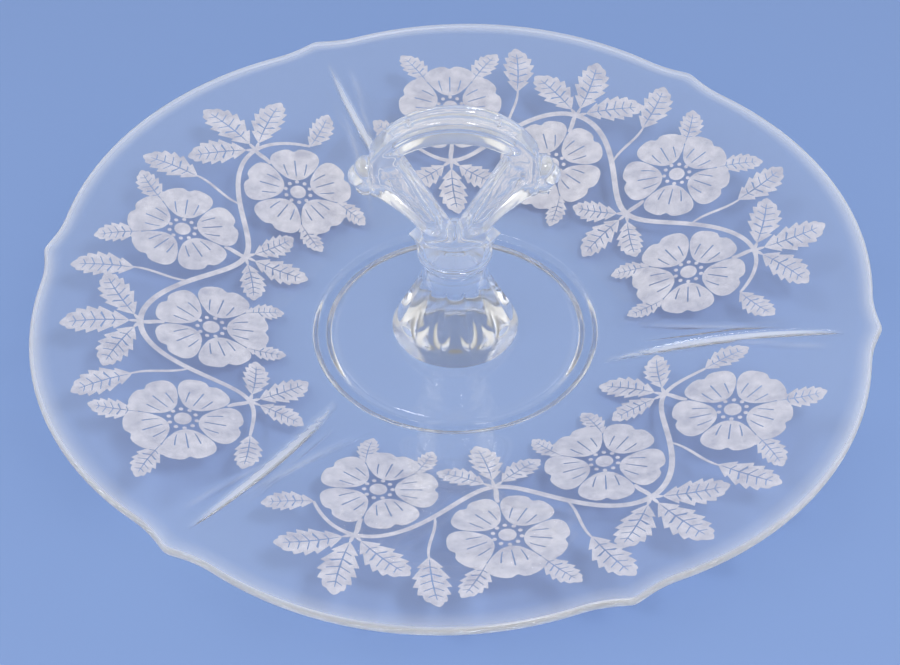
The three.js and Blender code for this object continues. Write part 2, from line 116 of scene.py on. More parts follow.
def soft_box(name, place, size, power):
    """A square lamp that faces the middle of the tray."""
    bpy.ops.object.light_add(type="AREA", location=place)
    lamp = bpy.context.object
    lamp.name = name
    lamp.data.shape = "SQUARE"
    lamp.data.size = size
    lamp.data.energy = power
    aim = LAMP_AIM - Vector(place)
    lamp.rotation_euler = aim.to_track_quat("-Z", "Y").to_euler()
    return lamp


soft_box("key_light", (0.34, -0.60, 1.05), 0.24, 5.6)
soft_box("top_light", (-0.45, -0.25, 1.20), 0.30, 3.0)
soft_box("left_light", (-0.95, 0.05, 0.62), 0.60, 1.6)
soft_box("right_light", (0.95, -0.05, 0.62), 0.60, 1.6)

# %% Room
SKY_HEIGHTS = (0.0, 0.50, 0.86, 1.0)
SKY_TONES = (0.95, 1.0, 0.5, 0.3)
WARMTH = (1.0, 0.985, 0.96)
FRONT_TONE = 0.45
FRONT_HALF_WIDTH = 0.25
WALL_START = 0.55
BOUNCES = 64

world = bpy.data.worlds.new("studio")
scene.world = world
world.use_nodes = True
sky = world.node_tree.nodes
links = world.node_tree.links
coords = sky.new("ShaderNodeTexCoord")
split = sky.new("ShaderNodeSeparateXYZ")
ramp = sky.new("ShaderNodeValToRGB")
links.new(coords.outputs["Generated"], split.inputs[0])
links.new(split.outputs["Z"], ramp.inputs["Fac"])
ramp.color_ramp.interpolation = "EASE"
for where in SKY_HEIGHTS[1:-1]:
    ramp.color_ramp.elements.new(where)
for stop, where, tone in zip(ramp.color_ramp.elements, SKY_HEIGHTS, SKY_TONES):
    stop.position = where
    stop.color = (*(tone * share for share in WARMTH), 1)
aside = sky.new("ShaderNodeMath")
aside.operation = "ABSOLUTE"
flanks = sky.new("ShaderNodeMapRange")
flanks.interpolation_type = "SMOOTHSTEP"
flanks.inputs["From Min"].default_value = FRONT_HALF_WIDTH
flanks.inputs["From Max"].default_value = WALL_START
flanks.inputs["To Min"].default_value = FRONT_TONE
links.new(split.outputs["X"], aside.inputs[0])
links.new(aside.outputs["Value"], flanks.inputs["Value"])
links.new(flanks.outputs["Result"], sky["Background"].inputs["Strength"])
links.new(ramp.outputs["Color"], sky["Background"].inputs["Color"])

scene.view_settings.view_transform = "Standard"
scene.cycles.caustics_reflective = False
scene.cycles.caustics_refractive = False
scene.cycles.max_bounces = BOUNCES
scene.cycles.transmission_bounces = BOUNCES
scene.cycles.glossy_bounces = BOUNCES
print("room with tones", SKY_TONES, "from the table up")

# %% [markdown]
# ## Clear glass
# One Principled shader that passes nearly all light is the glass. Pressed glass is never quite even: a slow
# noise bends its surface a little, and another one takes the polish off in places. A few hundredths of the
# light scatter, which gives old glass its faint milky veil. The handle is made milkier than the plate,
# higher up: a painted sheen that whitens it in place of reflections of the room. The edge of the rim and
# the moulded rays keep a satin skin, rougher than the rest, and they also let the least light through,
# which paints a white highlight along them: an attribute of the mesh marks them. For the light that goes
# on to the floor a transparent shader stands in, darker where the surface turns edge-on, because there real
# glass sends the light elsewhere.

# %% Clear glass
glass = bpy.data.materials.new("clear_glass")
glass.use_nodes = True
nodes = glass.node_tree.nodes
links = glass.node_tree.links
shader = nodes["Principled BSDF"]
shader.inputs["Base Color"].default_value = (0.985, 0.99, 0.99, 1)
shader.inputs["IOR"].default_value = 1.5
place = nodes.new("ShaderNodeTexCoord")

ripple = nodes.new("ShaderNodeTexNoise")
ripple.inputs["Scale"].default_value = 38.0
ripple.inputs["Detail"].default_value = 1.0
bump = nodes.new("ShaderNodeBump")
bump.inputs["Strength"].default_value = 0.12
bump.inputs["Distance"].default_value = 0.0004
links.new(place.outputs["Object"], ripple.inputs["Vector"])
links.new(ripple.outputs["Fac"], bump.inputs["Height"])
links.new(bump.outputs["Normal"], shader.inputs["Normal"])
print("ripples of about", round(1 / ripple.inputs["Scale"].default_value / MM), "mm")

# %% Polish and satin
wear = nodes.new("ShaderNodeTexNoise")
wear.inputs["Scale"].default_value = 120.0
wear.inputs["Detail"].default_value = 3.0
polish = nodes.new("ShaderNodeMapRange")
polish.inputs["From Min"].default_value = 0.45
polish.inputs["From Max"].default_value = 0.75
polish.inputs["To Min"].default_value = 0.0
polish.inputs["To Max"].default_value = 0.035
links.new(place.outputs["Object"], wear.inputs["Vector"])
links.new(wear.outputs["Fac"], polish.inputs["Value"])
# The satin attribute gives roughness here, and further on also a painted white highlight.
satin_and_highlight = nodes.new("ShaderNodeAttribute")
satin_and_highlight.attribute_name = "satin_and_highlight"
dull = nodes.new("ShaderNodeMapRange")
dull.inputs["To Max"].default_value = 0.6
duller = nodes.new("ShaderNodeMath")
duller.operation = "MAXIMUM"
links.new(satin_and_highlight.outputs["Fac"], dull.inputs["Value"])
links.new(polish.outputs["Result"], duller.inputs[0])
links.new(dull.outputs["Result"], duller.inputs[1])
links.new(duller.outputs["Value"], shader.inputs["Roughness"])
print("roughness up to", dull.inputs["To Max"].default_value, "where the glass is satin")

# %% Haze, painted sheen and painted highlights
# The plate keeps a faint haze; the handle turns milkier with height, a painted sheen that whitens it in
# place of reflections of the room.
HANDLE_SHEEN_START, HANDLE_SHEEN_FULL = 26 * MM, 42 * MM
PLATE_CLEARNESS = 0.95
HANDLE_CLEARNESS_WITH_SHEEN = 0.86
PAINTED_HIGHLIGHT_CLEARNESS = 0.55

# Height sets the plate's haze and the handle's painted sheen.
rise = nodes.new("ShaderNodeSeparateXYZ")
haze_and_painted_sheen = nodes.new("ShaderNodeMapRange")
haze_and_painted_sheen.inputs["From Min"].default_value = HANDLE_SHEEN_START
haze_and_painted_sheen.inputs["From Max"].default_value = HANDLE_SHEEN_FULL
haze_and_painted_sheen.inputs["To Min"].default_value = PLATE_CLEARNESS
haze_and_painted_sheen.inputs["To Max"].default_value = HANDLE_CLEARNESS_WITH_SHEEN
# Where the satin attribute is high the glass lets less light through and turns white: a painted highlight
# along the rim edge and the rays.
painted_highlight = nodes.new("ShaderNodeMapRange")
painted_highlight.inputs["To Min"].default_value = PLATE_CLEARNESS
painted_highlight.inputs["To Max"].default_value = PAINTED_HIGHLIGHT_CLEARNESS
clearness = nodes.new("ShaderNodeMath")
clearness.operation = "MINIMUM"
links.new(place.outputs["Object"], rise.inputs[0])
links.new(rise.outputs["Z"], haze_and_painted_sheen.inputs["Value"])
links.new(satin_and_highlight.outputs["Fac"], painted_highlight.inputs["Value"])
links.new(haze_and_painted_sheen.outputs["Result"], clearness.inputs[0])
links.new(painted_highlight.outputs["Result"], clearness.inputs[1])
links.new(clearness.outputs["Value"], shader.inputs["Transmission Weight"])
print("clearness", PLATE_CLEARNESS, "in the plate and", HANDLE_CLEARNESS_WITH_SHEEN, "in the handle")

# %% Light that goes on
edge_on = nodes.new("ShaderNodeLayerWeight")
edge_on.inputs["Blend"].default_value = 0.35
shade = nodes.new("ShaderNodeValToRGB")
shade.color_ramp.elements[0].position = 0.35
shade.color_ramp.elements[0].color = (1, 1, 1, 1)
shade.color_ramp.elements[1].position = 0.95
shade.color_ramp.elements[1].color = (0.5, 0.52, 0.55, 1)
let_through = nodes.new("ShaderNodeBsdfTransparent")
ray = nodes.new("ShaderNodeLightPath")
links.new(edge_on.outputs["Facing"], shade.inputs["Fac"])
links.new(shade.outputs["Color"], let_through.inputs["Color"])
seen = shader.outputs["BSDF"]
for kind in ("Is Diffuse Ray", "Is Shadow Ray"):
    choose = nodes.new("ShaderNodeMixShader")
    links.new(ray.outputs[kind], choose.inputs["Fac"])
    links.new(seen, choose.inputs[1])
    links.new(let_through.outputs["BSDF"], choose.inputs[2])
    seen = choose.outputs["Shader"]
links.new(seen, nodes["Material Output"].inputs["Surface"])
print("made", glass.name, "with", len(nodes), "nodes")

# %% [markdown]
# ## Plate, foot ring, stem and collar
# These are all round, and in the glass they are one piece, so they come from a single spin. A profile is
# drawn by extruding one vertex from place to place: out along the underside, around the foot ring, up to
# the rounded rim, back over the top, and up the stem to the collar. Separate solids would show a mirror
# wherever two of them touch, because light that leaves one piece of glass turns back at the joint.

# %% Sizes of the round parts
LOBE_REACH = 136.0
WELL_TOP = 6.3
WELL_RADIUS = 42.0
FOOT_HEIGHT = 2.0
FOOT_RADIUS = 43.5
FOOT_LAND = 1.3
FOOT_ROOT = 3.4
FOOT_OUTER = 46.7
RIM_TOP = 23.2
RIM_THICKNESS = 3.3
RIM_RADIUS = RIM_THICKNESS / 2
RIM_IN = LOBE_REACH - RIM_RADIUS
DISH_BEND = 92.0
DISH_SAG = 3.7
STEM_FOOT = 20.4
STEM_WAIST = 28.6
COLLAR_BOTTOM = 37.2
BEAD_TOP = 39.6
COLLAR_TOP = 46.0


def curve(points, steps):
    """Points on a cubic Bezier curve through its four control points."""
    a, b, c, d = (np.array(p, float) for p in points)
    t = np.linspace(0, 1, steps)[:, None]
    return (1 - t) ** 3 * a + 3 * (1 - t) ** 2 * t * b + 3 * (1 - t) * t ** 2 * c + t ** 3 * d


def smooth(low, high, value):
    """A soft step from 0 at low to 1 at high."""
    t = np.clip((value - low) / (high - low), 0, 1)
    return t * t * (3 - 2 * t)


print("plate of", 2 * LOBE_REACH, "mm across the lobes, collar up to", COLLAR_TOP, "mm")

# %% Profile
UNDER = curve(
    [(FOOT_OUTER, FOOT_HEIGHT), (FOOT_OUTER + 8, FOOT_HEIGHT),
     (DISH_BEND, RIM_TOP - RIM_THICKNESS - DISH_SAG), (RIM_IN, RIM_TOP - RIM_THICKNESS)], 56)
TOP = curve(
    [(WELL_RADIUS, WELL_TOP), (WELL_RADIUS + 12, WELL_TOP), (DISH_BEND, RIM_TOP - DISH_SAG),
     (RIM_IN, RIM_TOP)], 26)
FLARE = curve([(STEM_FOOT, WELL_TOP), (18.2, 12.1), (13.9, 19.2), (10.5, STEM_WAIST)], 40)

ring_radius = np.linspace(FOOT_RADIUS - FOOT_ROOT, FOOT_RADIUS + FOOT_ROOT - 0.2, 27)
ring_side = np.abs(ring_radius - FOOT_RADIUS)
ring_slope = np.clip((ring_side - FOOT_LAND) / (FOOT_ROOT - FOOT_LAND), 0, 1)
ring_height = FOOT_HEIGHT * (0.7 * ring_slope + 0.3 * smooth(FOOT_LAND, FOOT_ROOT, ring_side))
rim_turn = np.radians(np.linspace(-70, 70, 7))
rim_middle = RIM_TOP - RIM_RADIUS
bead_turn = np.radians(np.linspace(-90, 80, 7))
bead_middle = (COLLAR_BOTTOM + BEAD_TOP) / 2
bead_round = (BEAD_TOP - COLLAR_BOTTOM) / 2
profile = [(r, FOOT_HEIGHT) for r in (0, 8, 16, 24, 32, 37)]
profile += list(zip(ring_radius, ring_height))
profile += [tuple(p) for p in UNDER[1:]]
profile += [(RIM_IN + RIM_RADIUS * math.cos(a), rim_middle + RIM_RADIUS * math.sin(a)) for a in rim_turn]
profile += [tuple(p) for p in TOP[::-1]]
profile += [(r, WELL_TOP) for r in (36, 31, 26)]
profile += [tuple(p) for p in FLARE]
profile += [(10.2, 30.5), (10.1, 33.0), (10.2, 35.5), (10.4, COLLAR_BOTTOM - 0.4)]
profile += [(10.7 + bead_round * math.cos(a), bead_middle + bead_round * math.sin(a)) for a in bead_turn]
profile += [(11.2, BEAD_TOP + 0.5), (11.7, 41.1), (12.6, 42.8), (13.5, 44.5), (14.1, 45.5), (14.35, 45.8)]
profile += [(14.3, COLLAR_TOP), (13.6, COLLAR_TOP + 0.15)]
profile += [(r, COLLAR_TOP + 0.2) for r in (11, 5, 0)]
print("profile of", len(profile), "points")

# %% [markdown]
# The profile is extruded vertex by vertex and then spun once around the upright axis. The last column of
# the spin lies on the first one, so the doubles are merged, and the normals are then turned outwards.

# %% Spin
SPIN_STEPS = 288


def select_nothing():
    bpy.ops.object.select_all(action="DESELECT")


select_nothing()
bpy.ops.mesh.primitive_plane_add(size=2 * MM)
body = bpy.context.object
body.name = "glass_body"
bpy.ops.object.mode_set(mode="EDIT")
bpy.ops.mesh.select_all(action="SELECT")
bpy.ops.mesh.merge(type="CENTER")
first = np.array(profile[0])
bpy.ops.transform.translate(value=(first[0] * MM, 0, first[1] * MM))
for before, after in zip(profile, profile[1:]):
    step = ((after[0] - before[0]) * MM, 0, (after[1] - before[1]) * MM)
    bpy.ops.mesh.extrude_region_move(TRANSFORM_OT_translate={"value": step})
bpy.ops.mesh.select_all(action="SELECT")
bpy.ops.mesh.spin(steps=SPIN_STEPS, angle=2 * math.pi, center=(0, 0, 0), axis=(0, 0, 1))
bpy.ops.mesh.select_all(action="SELECT")
bpy.ops.mesh.remove_doubles(threshold=0.01 * MM)
bpy.ops.mesh.normals_make_consistent(inside=False)
bpy.ops.object.mode_set(mode="OBJECT")
print("spun", len(body.data.vertices), "vertices,", len(body.data.polygons), "faces")

# %% [markdown]
# ## Lobes, rays, flutes and corners
# The spin is perfectly round, so its vertices are moved: the rim out to six lobes with a small point
# between each two, three sheaves of rays pressed into the underside, and twelve flutes around the stem.
# The collar gets eight corners, and it narrows from front to back on its way up to the flat handle. Each
# shape is a function of the radius and the angle, which is easier to keep exact than moving by hand.

# %% Rim
POINT_REACH = 135.0
POINT_FLARE = 3.9
POINT_HALF_WIDTH = 16.0
POINT_SOFTNESS = 0.07
POINT_TURN = math.radians(-8.3)
LOBES = 6
SCALLOP_WIDTH = 44.0


def from_point(angle):
    """Angle from the nearest rim point."""
    lobe = 2 * math.pi / LOBES
    turned = angle - POINT_TURN
    return turned - np.round(turned / lobe) * lobe


def rim_reach(angle):
    """Distance from the axis to the rim at an angle."""
    half = math.pi / LOBES
    meet = POINT_REACH - POINT_FLARE
    bulge = LOBE_REACH - meet * math.cos(half)
    radius = ((meet * math.sin(half)) ** 2 + bulge ** 2) / (2 * bulge)
    centre = LOBE_REACH - radius
    away = np.abs(from_point(angle))
    from_lobe = half - away
    lobe = centre * np.cos(from_lobe) + np.sqrt(radius ** 2 - (centre * np.sin(from_lobe)) ** 2)
    along = np.sqrt((away * POINT_REACH / POINT_HALF_WIDTH) ** 2 + POINT_SOFTNESS ** 2)
    return lobe + POINT_FLARE * (1 - np.minimum(along, 1)) ** 2 / (1 - POINT_SOFTNESS) ** 2


def scalloped(radius, angle):
    """The radius that a place on the round plate moves to, so that its border follows the rim."""
    follow = np.clip((radius - (LOBE_REACH - SCALLOP_WIDTH)) / SCALLOP_WIDTH, 0, 1.05) ** 2
    return radius + follow * (rim_reach(angle) - LOBE_REACH)


point_reach = float(rim_reach(np.array([POINT_TURN]))[0])
print("rim at", round(point_reach, 1), "mm in a point and", LOBE_REACH, "mm in a lobe")

# %% [markdown]
# A ray is given by the start, middle and end of its middle line, its width and its depth. It stands out
# most halfway along and fades to nothing at both ends.

# %% Rays
SHEAVES = 3
RAYS = [((47, -9.6), (78, -3.7), (127, -1.6), 5.0, 0.85), ((52, 8.0), (80, 3.4), (110, 1.4), 3.8, 0.45),
        ((82, -3.4), (104, -6.0), (125, -8.4), 3.6, 0.45), ((60, -1.0), (86, 1.6), (118, 5.4), 3.4, 0.35)]


def ray_depth(radius, angle):
    """How far the moulded rays stand below the underside."""
    sheaf = 2 * math.pi / SHEAVES
    turned = angle - POINT_TURN
    turned = turned - np.round(turned / sheaf) * sheaf
    along, across = radius * np.cos(turned), radius * np.sin(turned)
    depth = np.zeros_like(radius)
    for start, middle, end, width, deep in RAYS:
        bend = np.polyfit(*np.array([start, middle, end]).T, 2)
        s = (along - start[0]) / (end[0] - start[0]) * 2 - 1
        inside = np.clip(1 - s * s, 1e-6, None)
        u = np.abs(across - np.polyval(bend, along)) / (width / 2 * np.sqrt(inside))
        ridge = np.where(np.abs(s) < 1, np.cos(math.pi / 2 * np.minimum(u, 1)) ** 2 * np.sqrt(inside), 0)
        depth = np.maximum(depth, deep * ridge)
    return depth


print(SHEAVES, "sheaves of", len(RAYS), "rays")

# %% [markdown]
# The rim and the rays come first. The columns of vertices crowd towards the points, where the finest
# shapes are, and what stands below the underside afterwards is a ray. The same step marks the rim edge and
# the rays with an attribute of the mesh, which the glass material reads as satin roughness and as a
# painted white highlight.

# %% Rim, rays, and satin with painted highlights
CROWD_START, CROWD_END = 45.0, 60.0
CROWDING = 0.8
RAYS_END = 125.0
NEAR_UNDER = 0.3
# Where the rim edge and the rays get satin roughness and a painted white highlight.
RIM_SATIN_AND_HIGHLIGHT = 0.5
RIM_SATIN_AND_HIGHLIGHT_START, RIM_SATIN_AND_HIGHLIGHT_END = 2.6, 1.2
RAY_SATIN_AND_HIGHLIGHT_START, RAY_SATIN_AND_HIGHLIGHT_END = 0.2, 0.8


def read_places(piece):
    places = np.empty(len(piece.data.vertices) * 3)
    piece.data.vertices.foreach_get("co", places)
    return places.reshape(-1, 3) / MM


def write_places(piece, places):
    piece.data.vertices.foreach_set("co", (places * MM).ravel())
    piece.data.update()


places = read_places(body)
radius = np.hypot(places[:, 0], places[:, 1])
angle = np.arctan2(places[:, 1], places[:, 0])
height = places[:, 2]
crowd = smooth(CROWD_START, CROWD_END, radius) * CROWDING / LOBES
angle = angle - crowd * np.sin(LOBES * (angle - POINT_TURN))

plain_under = np.interp(radius, UNDER[:, 0], UNDER[:, 1])
is_under = (np.abs(height - plain_under) < NEAR_UNDER) & (radius > FOOT_OUTER) & (radius < RAYS_END)
ridge = np.where(is_under, ray_depth(radius, angle), 0)
height = height - ridge
# The attribute marks satin roughness and a painted white highlight.
satin_and_highlight_marks = body.data.attributes.new("satin_and_highlight", "FLOAT", "POINT")
rim_satin_and_highlight = RIM_SATIN_AND_HIGHLIGHT * smooth(LOBE_REACH - RIM_SATIN_AND_HIGHLIGHT_START, LOBE_REACH - RIM_SATIN_AND_HIGHLIGHT_END, radius)
ray_satin_and_highlight = smooth(RAY_SATIN_AND_HIGHLIGHT_START, RAY_SATIN_AND_HIGHLIGHT_END, ridge)
satin_and_highlight_marks.data.foreach_set("value", np.maximum(ray_satin_and_highlight, rim_satin_and_highlight))
radius = np.where(radius > CROWD_END, scalloped(radius, angle), radius)
print("rays on", int((ridge > 0).sum()), "vertices")

# %% Flutes and collar
STEM_ZONE = 22.0
FLUTES = 12
FLUTE_START = 11.0
FLUTE_DEPTH = 1.1
FLUTE_DEEPENING = 0.07
SLIM_RADIUS = 9.5
FLUTE_ENDS = 0.35
COLLAR_SIDES = 8
COLLAR_FACETS = 3.2
COLLAR_TOP_DEPTH = 0.5

along = np.clip((height - FLUTE_START) / (STEM_WAIST - FLUTE_START), 0, 1)
on_stem = (radius < STEM_ZONE) & (height > FLUTE_START) & (height < STEM_WAIST)
flute = np.where(on_stem, np.sin(math.pi * along) ** FLUTE_ENDS, 0)
deep = FLUTE_DEPTH + FLUTE_DEEPENING * np.maximum(radius - SLIM_RADIUS, 0)
radius = radius - flute * deep * np.abs(np.cos(FLUTES / 2 * angle))

side = 2 * math.pi / COLLAR_SIDES
flat = smooth(BEAD_TOP, BEAD_TOP + COLLAR_FACETS, height) * (height > BEAD_TOP)
from_middle = angle - (np.floor(angle / side) + 0.5) * side
radius = radius * (1 + flat * (math.cos(side / 2) / np.cos(from_middle) - 1))
depth = 1 - (1 - COLLAR_TOP_DEPTH) * smooth(BEAD_TOP, COLLAR_TOP, height) * (radius < STEM_ZONE)
write_places(body, np.stack([radius * np.cos(angle), depth * radius * np.sin(angle), height], axis=1))
print("stem with", FLUTES, "flutes, collar with", COLLAR_SIDES, "sides")

# %% [markdown]
# ## Loop handle
# The loop is a bar that leans out from the collar, turns at a shoulder and arches over. A grid is wrapped
# into it: one way of the grid runs along the bar, between an inner and an outer outline, and the other way
# goes around its section. The channels on the front and back and the panel on top are sunk into it by
# the distance of each vertex from their middle line.

# %% Outlines of the loop
HANDLE_HALF_DEPTH = 4.6
GRIP_RADIUS = 28.7
GRIP_CENTRE = 66.3
OPENING_RADIUS = 28.6
OPENING_CENTRE = 57.0
CORNER_TURN = 53.0
SHOULDER = 25.5
SHOULDER_TOP = 77.0
LOOP_BURIED = 43.0
CROTCH_HEIGHT = 46.2
ARM_STEPS = 90
ARCH_STEPS = 64


def evenly(points, steps):
    """The same path as a polyline, cut into equal steps."""
    points = np.array(points, float)
    lengths = np.r_[0, np.cumsum(np.hypot(*np.diff(points, axis=0).T))]
    wanted = np.linspace(0, lengths[-1], steps)
    return np.stack([np.interp(wanted, lengths, points[:, k]) for k in (0, 1)], axis=1)


def arc(radius, centre, start, end, steps=40):
    turn = np.radians(np.linspace(start, end, steps))
    return np.stack([radius * np.cos(turn), centre + radius * np.sin(turn)], axis=1)


corner = arc(OPENING_RADIUS, OPENING_CENTRE, CORNER_TURN, CORNER_TURN, 1)[0]
past_corner = arc(OPENING_RADIUS, OPENING_CENTRE, CORNER_TURN + 1.5, CORNER_TURN + 8, 2)
crotch = np.array([0.0, CROTCH_HEIGHT])
lean = (corner - crotch) / np.hypot(*(corner - crotch))
shoulder_turn = math.degrees(math.acos(SHOULDER / GRIP_RADIUS))
lean_out = curve([(9.8, COLLAR_TOP), (10.6, 53.5), (17.0, 58.5), (SHOULDER, GRIP_CENTRE)], 30)
outer_arm = np.vstack([[(9.6, LOOP_BURIED)], lean_out, [(SHOULDER, SHOULDER_TOP)]])
outer_arch = np.vstack([[(SHOULDER, SHOULDER_TOP)], arc(GRIP_RADIUS, GRIP_CENTRE, shoulder_turn, 90)])
round_corner = curve([corner - 4 * lean, corner - 0.8 * lean, *past_corner], 14)
inner_arm = np.vstack([[(-0.6, LOOP_BURIED), (-0.6, 45.2)], [crotch + 1.2 * lean], round_corner[:6]])
inner_arch = np.vstack([round_corner[5:], arc(OPENING_RADIUS, OPENING_CENTRE, CORNER_TURN + 8, 90)[1:]])
outer = np.vstack([evenly(outer_arm, ARM_STEPS), evenly(outer_arch, ARCH_STEPS)[1:]])
inner = np.vstack([evenly(inner_arm, ARM_STEPS), evenly(inner_arch, ARCH_STEPS)[1:]])
mirrored = np.array([-1.0, 1.0])
outer = np.vstack([outer, outer[-2::-1] * mirrored])
inner = np.vstack([inner, inner[-2::-1] * mirrored])
print("loop of", len(outer), "sections")

# %% [markdown]
# The section of the bar is a rounded square, from powers of sine and cosine. Pressed handles of this kind
# have channels, which save glass and leave bright rails at both edges: one along the front and back of each
# arm, one along the arch, and a panel on top of the grip. Heights say where the channels of the arms end,
# and turns from the top of the arch say where its channel and the panel end.

# %% Section of the bar
SIDE_STEPS = 16
SECTION_POWER = 0.34


def section():
    """Places around the bar: 0 to 1 from the inner outline to the outer one, -1 to 1 from front to back."""
    turn = np.linspace(0, 2 * math.pi, 4 * SIDE_STEPS + 1)[:-1] + math.pi / 4
    across = np.sign(np.cos(turn)) * np.abs(np.cos(turn)) ** SECTION_POWER
    back = np.sign(np.sin(turn)) * np.abs(np.sin(turn)) ** SECTION_POWER
    return (across + 1) / 2, back


select_nothing()
across, back = section()
rows, columns = len(outer), len(across)
bpy.ops.mesh.primitive_grid_add(x_subdivisions=rows - 1, y_subdivisions=columns, size=1)
loop = bpy.context.object
loop.name = "loop"
grid = np.array([v.co[:2] for v in loop.data.vertices])
row = np.rint((grid[:, 0] + 0.5) * (rows - 1)).astype(int)
column = np.rint((grid[:, 1] + 0.5) * columns).astype(int) % columns
flat_place = inner[row] + (outer[row] - inner[row]) * across[column][:, None]
x, z = flat_place.T
y = back[column] * HANDLE_HALF_DEPTH
print("bar of", rows, "sections with", columns, "places each")

# %% Channels
ARM_CHANNEL_LOW, ARM_CHANNEL_HIGH = 49.5, 72.5
ARM_CHANNEL_HALF_WIDTH = 2.7
ARCH_CHANNEL_TURN = math.radians(46)
ARCH_CHANNEL_HALF_WIDTH = 1.7
CHANNEL_DEPTH = 1.4
FRONT_FACE_START, FRONT_FACE_END = 0.8, 0.97


def sunk(distance, half_width, depth):
    """A soft-edged sinking within half_width of a middle line."""
    return depth * smooth(half_width + 0.45, half_width - 0.35, distance)


middle = (inner + outer) / 2
thickness = np.hypot(*(outer - inner).T)
run = np.r_[0, np.cumsum(np.hypot(*np.diff(middle, axis=0).T))]
from_middle_line = (across[column] - 0.5) * thickness[row]
front_sink = np.zeros(len(x))
at_channel_height = (middle[:, 1] > ARM_CHANNEL_LOW) & (middle[:, 1] < ARM_CHANNEL_HIGH)
for side_of_loop in (1, -1):
    arm = np.flatnonzero(at_channel_height & (middle[:, 0] * side_of_loop > 0))
    start = run[arm[0]] + ARM_CHANNEL_HALF_WIDTH
    end = run[arm[-1]] - ARM_CHANNEL_HALF_WIDTH
    past = np.maximum(start - run[row], run[row] - end)
    away = np.hypot(np.maximum(past, 0), from_middle_line)
    front_sink = np.maximum(front_sink, sunk(away, ARM_CHANNEL_HALF_WIDTH, CHANNEL_DEPTH))
from_top = np.abs(np.arctan2(middle[:, 0], middle[:, 1] - GRIP_CENTRE))
arch = np.flatnonzero(from_top < ARCH_CHANNEL_TURN)
past = np.maximum(run[arch[0]] - run[row], run[row] - run[arch[-1]])
away = np.hypot(np.maximum(past, 0), from_middle_line)
front_sink = np.maximum(front_sink, sunk(away, ARCH_CHANNEL_HALF_WIDTH, CHANNEL_DEPTH))
on_front = smooth(FRONT_FACE_START, FRONT_FACE_END, np.abs(back[column]))
y = y - np.sign(y) * front_sink * on_front
print("channels", round(float(front_sink.max()), 1), "mm deep")

# %% Panel of the grip
GRIP_PANEL_HALF_TURN = 28.7
GRIP_PANEL_DEPTH = 1.5
GRIP_PANEL_OUTSIDE, GRIP_PANEL_INSIDE = 2.8, 2.3
OUTER_FACE_START, OUTER_FACE_END = 0.9, 0.99

panel_turn = np.abs(np.arctan2(x, z - GRIP_CENTRE))
panel_ends = np.radians([GRIP_PANEL_HALF_TURN + 0.5, GRIP_PANEL_HALF_TURN - 0.5])
panel = smooth(GRIP_PANEL_OUTSIDE, GRIP_PANEL_INSIDE, np.abs(y)) * smooth(*panel_ends, panel_turn)
on_top = smooth(OUTER_FACE_START, OUTER_FACE_END, across[column])
pull = GRIP_PANEL_DEPTH * panel * on_top
x = x - pull * np.sin(np.arctan2(x, z - GRIP_CENTRE))
z = z - pull * np.cos(panel_turn)
write_places(loop, np.stack([x, y, z], axis=1))
print("panel on the grip", round(float(pull.max()), 1), "mm deep")

# %% [markdown]
# A wrapped grid is a tube whose two long edges lie on one another, so they are merged. Its two open ends,
# which will be buried in the collar, are then filled, and the normals turned outwards.

# %% Closing the loop
bpy.ops.object.mode_set(mode="EDIT")
bpy.ops.mesh.select_all(action="SELECT")
bpy.ops.mesh.remove_doubles(threshold=0.001 * MM)
bpy.ops.mesh.select_all(action="DESELECT")
bpy.ops.mesh.select_non_manifold()
bpy.ops.mesh.fill_holes(sides=0)
bpy.ops.mesh.select_all(action="SELECT")
bpy.ops.mesh.normals_make_consistent(inside=False)
bpy.ops.object.mode_set(mode="OBJECT")
print("loop bar of", len(loop.data.polygons), "faces")

# %% [markdown]
# ## Knobs, and melting them into the loop
# Each shoulder carries a knob of three round lobes, and a smaller one sits under it. They are spheres that
# reach into the loop. Pressed glass has no sharp inner corners, so loop and knobs are joined and remeshed
# with small voxels, which fuses them, and a few rounds of smoothing then melt the joints as a flame would.

# %% Knobs
KNOB_LOBES = [(29.2, 70.5, 3.2), (27.1, 74.0, 3.1), (27.1, 67.0, 3.2), (23.6, 65.2, 2.6)]
KNOB_DEPTH = 1.28
VOXEL = 0.4
MELT_ROUNDS = 5

parts = [loop]
for side_of_loop in (-1, 1):
    for lobe_x, lobe_z, lobe_radius in KNOB_LOBES:
        select_nothing()
        bpy.ops.mesh.primitive_uv_sphere_add(segments=40, ring_count=24, radius=lobe_radius * MM)
        knob = bpy.context.object
        knob.location = (side_of_loop * lobe_x * MM, 0, lobe_z * MM)
        knob.scale = (1, KNOB_DEPTH, 1)
        bpy.ops.object.transform_apply(location=True, rotation=True, scale=True)
        parts.append(knob)
select_nothing()
for part in parts:
    part.select_set(True)
bpy.context.view_layer.objects.active = loop
bpy.ops.object.join()
remesh = loop.modifiers.new("fuse", "REMESH")
remesh.mode = "VOXEL"
remesh.voxel_size = VOXEL * MM
bpy.ops.object.modifier_apply(modifier=remesh.name)
melt = loop.modifiers.new("melt", "SMOOTH")
melt.factor = 0.5
melt.iterations = MELT_ROUNDS
bpy.ops.object.modifier_apply(modifier=melt.name)
print("melted loop of", len(loop.data.polygons), "faces")

# %% [markdown]
# ## One body of glass
# A union joins the loop to the collar, and the result is a single closed skin. It stands for all nine CAD
# solids, because they are the formed members of one fused piece of glass.

